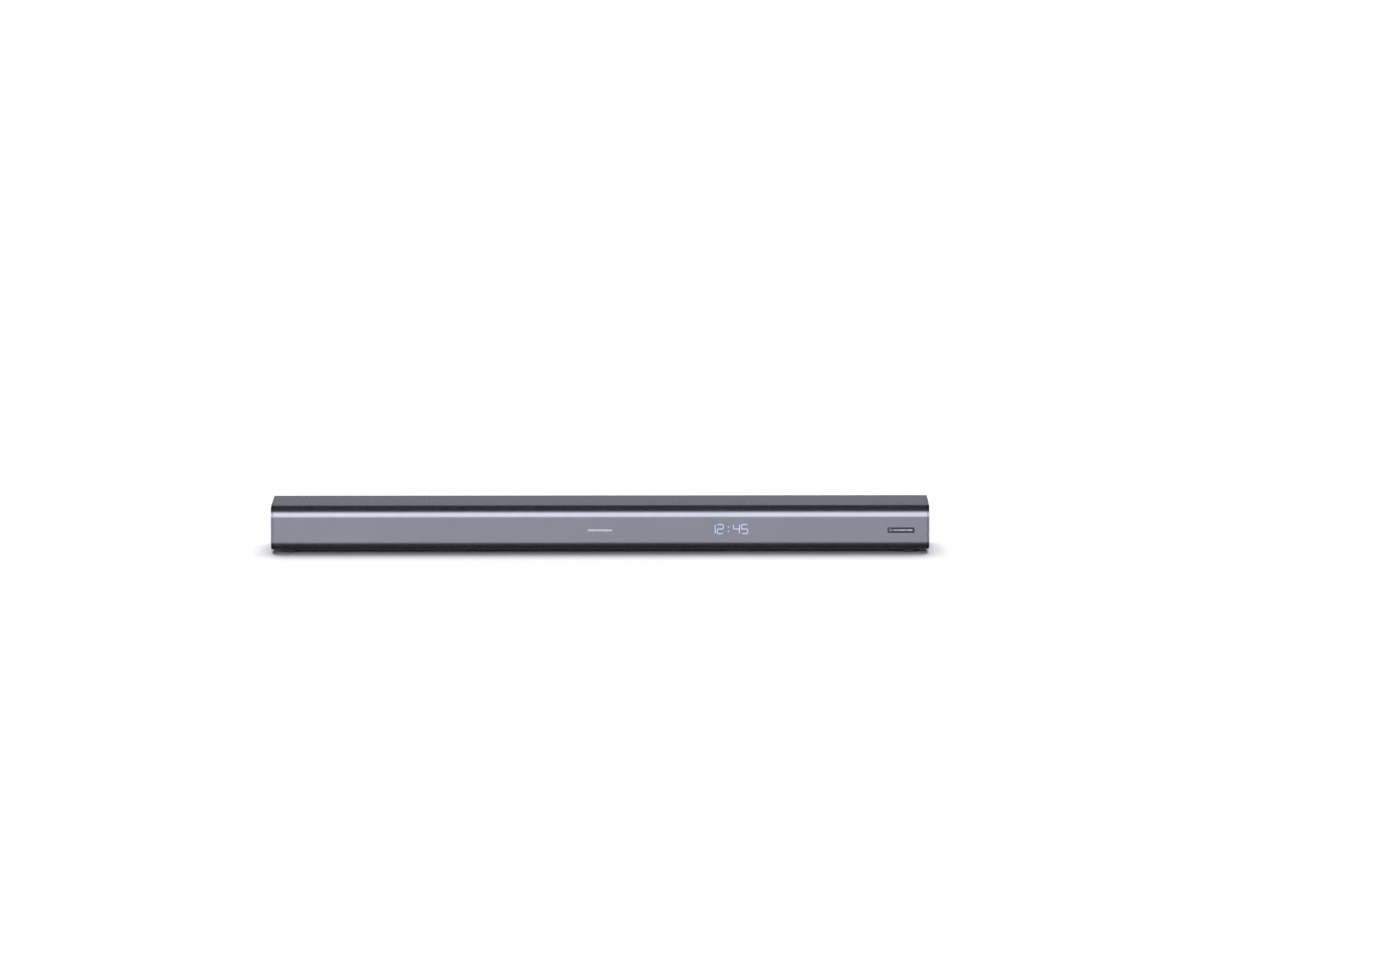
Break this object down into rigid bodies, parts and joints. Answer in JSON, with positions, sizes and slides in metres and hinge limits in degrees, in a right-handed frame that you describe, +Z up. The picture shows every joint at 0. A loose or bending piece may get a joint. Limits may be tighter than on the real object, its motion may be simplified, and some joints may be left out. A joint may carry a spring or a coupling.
{
  "type": "soundbar",
  "caption": "Slim television soundbar with a rounded perforated front, hidden drivers, end keys, a lit display, rear socket bays and rubber feet.",
  "frame": {"origin": "on the ground under the middle of the cabinet's box, between the feet", "axes": "+X along the cabinet towards the right as a listener sees it, +Y from the front to the rear, +Z up"},
  "size_m": [0.95, 0.105, 0.069],
  "materials": {
    "housing_plastic": "fine moulded texture",
    "cover_metal": "satin gunmetal",
    "grille_metal": "satin gunmetal, finely perforated",
    "grille_cloth": "fine black acoustic weave",
    "baffle_plastic": "moulded",
    "cap_plastic": "satin gunmetal paint",
    "badge": "fine satin",
    "foot_rubber": "matt",
    "basket_metal": "black powder coat",
    "surround_rubber": "matt",
    "cone_paper": "coated pulp",
    "magnet_ferrite": "dull grey",
    "pole_steel": "zinc plated",
    "key_plastic": "satin gunmetal paint",
    "plunger_plastic": "moulded",
    "pcb": "solder mask",
    "switch_metal": "tinned",
    "heatsink": "extruded",
    "transformer": "ferrite core with taped winding",
    "capacitor": "shrink sleeve",
    "display": "dark lens",
    "socket_metal": "nickel plated",
    "socket_plastic": "moulded",
    "insert_brass": "machined",
    "screw_steel": "black zinc",
    "wire": "insulated leads"
  },
  "bodies": {
    "cabinet": {"rear_housing": "housing_plastic", "bay_liners": "housing_plastic", "top_cover": "cover_metal", "front_grille": "grille_metal", "grille_cloth": "grille_cloth", "front_baffle": "baffle_plastic", "end_cap_left": "cap_plastic", "end_cap_right": "cap_plastic", "front_badges": "badge", "foot_front_left": "foot_rubber", "foot_front_right": "foot_rubber", "foot_rear_left": "foot_rubber", "foot_rear_right": "foot_rubber", "left_outer_driver_basket": "basket_metal", "left_inner_driver_basket": "basket_metal", "centre_left_driver_basket": "basket_metal", "centre_right_driver_basket": "basket_metal", "right_inner_driver_basket": "basket_metal", "right_outer_driver_basket": "basket_metal", "left_outer_driver_suspension": "surround_rubber", "left_inner_driver_suspension": "surround_rubber", "centre_left_driver_suspension": "surround_rubber", "centre_right_driver_suspension": "surround_rubber", "right_inner_driver_suspension": "surround_rubber", "right_outer_driver_suspension": "surround_rubber", "driver_magnets": "magnet_ferrite", "driver_pole_plates": "pole_steel", "key_board": "pcb", "main_board": "pcb", "power_board": "pcb", "display_board": "pcb", "key_switches": "switch_metal", "wireless_module": "switch_metal", "heatsink": "heatsink", "transformer": "transformer", "capacitors": "capacitor", "display_module": "display", "ir_receiver": "display", "data_sockets": "socket_metal", "optical_socket": "socket_plastic", "aux_socket": "socket_plastic", "ac_inlet": "socket_plastic", "wall_inserts": "insert_brass", "screws": "screw_steel", "wire_harness": "wire"},
    "left_outer_cone": {"left_outer_driver_cone": "cone_paper"},
    "left_inner_cone": {"left_inner_driver_cone": "cone_paper"},
    "centre_left_cone": {"centre_left_driver_cone": "cone_paper"},
    "centre_right_cone": {"centre_right_driver_cone": "cone_paper"},
    "right_inner_cone": {"right_inner_driver_cone": "cone_paper"},
    "right_outer_cone": {"right_outer_driver_cone": "cone_paper"},
    "power_key": {"power_button": "key_plastic", "power_switch_plunger": "plunger_plastic"},
    "source_key": {"source_button": "key_plastic", "source_switch_plunger": "plunger_plastic"},
    "volume_down_key": {"volume_down_button": "key_plastic", "volume_down_switch_plunger": "plunger_plastic"},
    "volume_up_key": {"volume_up_button": "key_plastic", "volume_up_switch_plunger": "plunger_plastic"},
    "optical_flap": {"optical_shutter": "socket_plastic"}
  },
  "joints": [
    {"name": "left_outer_cone_travel", "type": "slide", "parent": "cabinet", "child": "left_outer_cone", "axis": [0, -1, 0], "range_m": [-0.002, 0.002], "stiffness_N_per_m": 1200, "deforming": ["left_outer_driver_suspension"]},
    {"name": "left_inner_cone_travel", "type": "slide", "parent": "cabinet", "child": "left_inner_cone", "axis": [0, -1, 0], "range_m": [-0.002, 0.002], "stiffness_N_per_m": 1200, "deforming": ["left_inner_driver_suspension"]},
    {"name": "centre_left_cone_travel", "type": "slide", "parent": "cabinet", "child": "centre_left_cone", "axis": [0, -1, 0], "range_m": [-0.002, 0.002], "stiffness_N_per_m": 1200, "deforming": ["centre_left_driver_suspension"]},
    {"name": "centre_right_cone_travel", "type": "slide", "parent": "cabinet", "child": "centre_right_cone", "axis": [0, -1, 0], "range_m": [-0.002, 0.002], "stiffness_N_per_m": 1200, "deforming": ["centre_right_driver_suspension"]},
    {"name": "right_inner_cone_travel", "type": "slide", "parent": "cabinet", "child": "right_inner_cone", "axis": [0, -1, 0], "range_m": [-0.002, 0.002], "stiffness_N_per_m": 1200, "deforming": ["right_inner_driver_suspension"]},
    {"name": "right_outer_cone_travel", "type": "slide", "parent": "cabinet", "child": "right_outer_cone", "axis": [0, -1, 0], "range_m": [-0.002, 0.002], "stiffness_N_per_m": 1200, "deforming": ["right_outer_driver_suspension"]},
    {"name": "power_key_press", "type": "slide", "parent": "cabinet", "child": "power_key", "axis": [-1, 0, 0], "range_m": [0, 0.00035], "stiffness_N_per_m": 4500},
    {"name": "source_key_press", "type": "slide", "parent": "cabinet", "child": "source_key", "axis": [-1, 0, 0], "range_m": [0, 0.00035], "stiffness_N_per_m": 4500},
    {"name": "volume_down_key_press", "type": "slide", "parent": "cabinet", "child": "volume_down_key", "axis": [-1, 0, 0], "range_m": [0, 0.00035], "stiffness_N_per_m": 4500},
    {"name": "volume_up_key_press", "type": "slide", "parent": "cabinet", "child": "volume_up_key", "axis": [-1, 0, 0], "range_m": [0, 0.00035], "stiffness_N_per_m": 4500},
    {"name": "optical_flap_hinge", "type": "hinge", "parent": "cabinet", "child": "optical_flap", "pos_m": [-0.009, 0.0301, 0.0239], "axis": [-1, 0, 0], "range_deg": [0, 80], "stiffness_Nm_per_rad": 0.0008}
  ]
}
